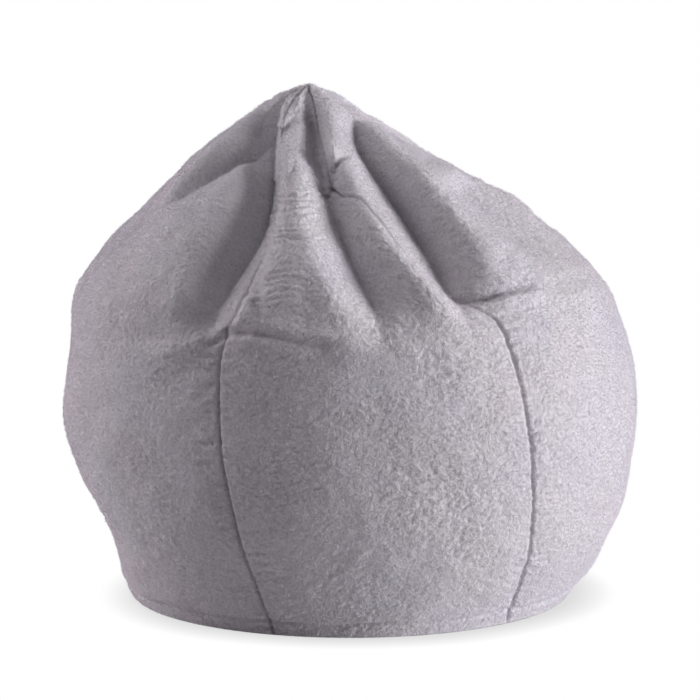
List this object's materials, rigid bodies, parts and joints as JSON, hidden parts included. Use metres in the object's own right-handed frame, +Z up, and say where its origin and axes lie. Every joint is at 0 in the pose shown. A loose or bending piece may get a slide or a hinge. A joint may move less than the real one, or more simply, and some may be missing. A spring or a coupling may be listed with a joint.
{
  "type": "bean bag chair",
  "caption": "Teardrop bean bag chair: gored plush cover gathered to a soft tip, over a zipped liner full of beads, on a flat zipped base.",
  "frame": {"origin": "on the floor, under the middle of the widest ring", "axes": "+Z up, the front of the seat faces -Y, the zips run along X, the tip leans towards -X"},
  "size_m": [0.8576, 0.8634, 0.78],
  "materials": {
    "plush": "matte",
    "base_cloth": "matte",
    "liner_cloth": "matte",
    "beads": "matte",
    "zip_tape": "matte",
    "zip_coil": "satin",
    "zip_metal": "satin"
  },
  "bodies": {
    "bean_bag": {"cover_panel_front": "plush", "cover_panel_front_right": "plush", "cover_panel_back_right": "plush", "cover_panel_back": "plush", "cover_panel_back_left": "plush", "cover_panel_front_left": "plush", "base_panel_front": "base_cloth", "base_panel_back": "base_cloth", "cover_zip_tape_front": "zip_tape", "cover_zip_tape_back": "zip_tape", "cover_zip_coil_front": "zip_coil", "cover_zip_coil_back": "zip_coil", "cover_zip_top_stop": "zip_metal", "cover_zip_bottom_stop": "zip_metal", "liner_panel_front": "liner_cloth", "liner_panel_front_right": "liner_cloth", "liner_panel_back_right": "liner_cloth", "liner_panel_back": "liner_cloth", "liner_panel_back_left": "liner_cloth", "liner_panel_front_left": "liner_cloth", "liner_base_front": "liner_cloth", "liner_base_back": "liner_cloth", "liner_zip_tape_front": "zip_tape", "liner_zip_tape_back": "zip_tape", "liner_zip_coil_front": "zip_coil", "liner_zip_coil_back": "zip_coil", "liner_zip_top_stop": "zip_metal", "liner_zip_bottom_stop": "zip_metal", "bean_fill": "beads"},
    "cover_slider": {"cover_zip_slider": "zip_metal"},
    "liner_slider": {"liner_zip_slider": "zip_metal"}
  },
  "joints": [
    {"name": "cover_zip_slide", "type": "slide", "parent": "bean_bag", "child": "cover_slider", "axis": [1, 0, 0], "range_m": [0, 0.467]},
    {"name": "liner_zip_slide", "type": "slide", "parent": "bean_bag", "child": "liner_slider", "axis": [1, 0, 0], "range_m": [0, 0.407]}
  ]
}
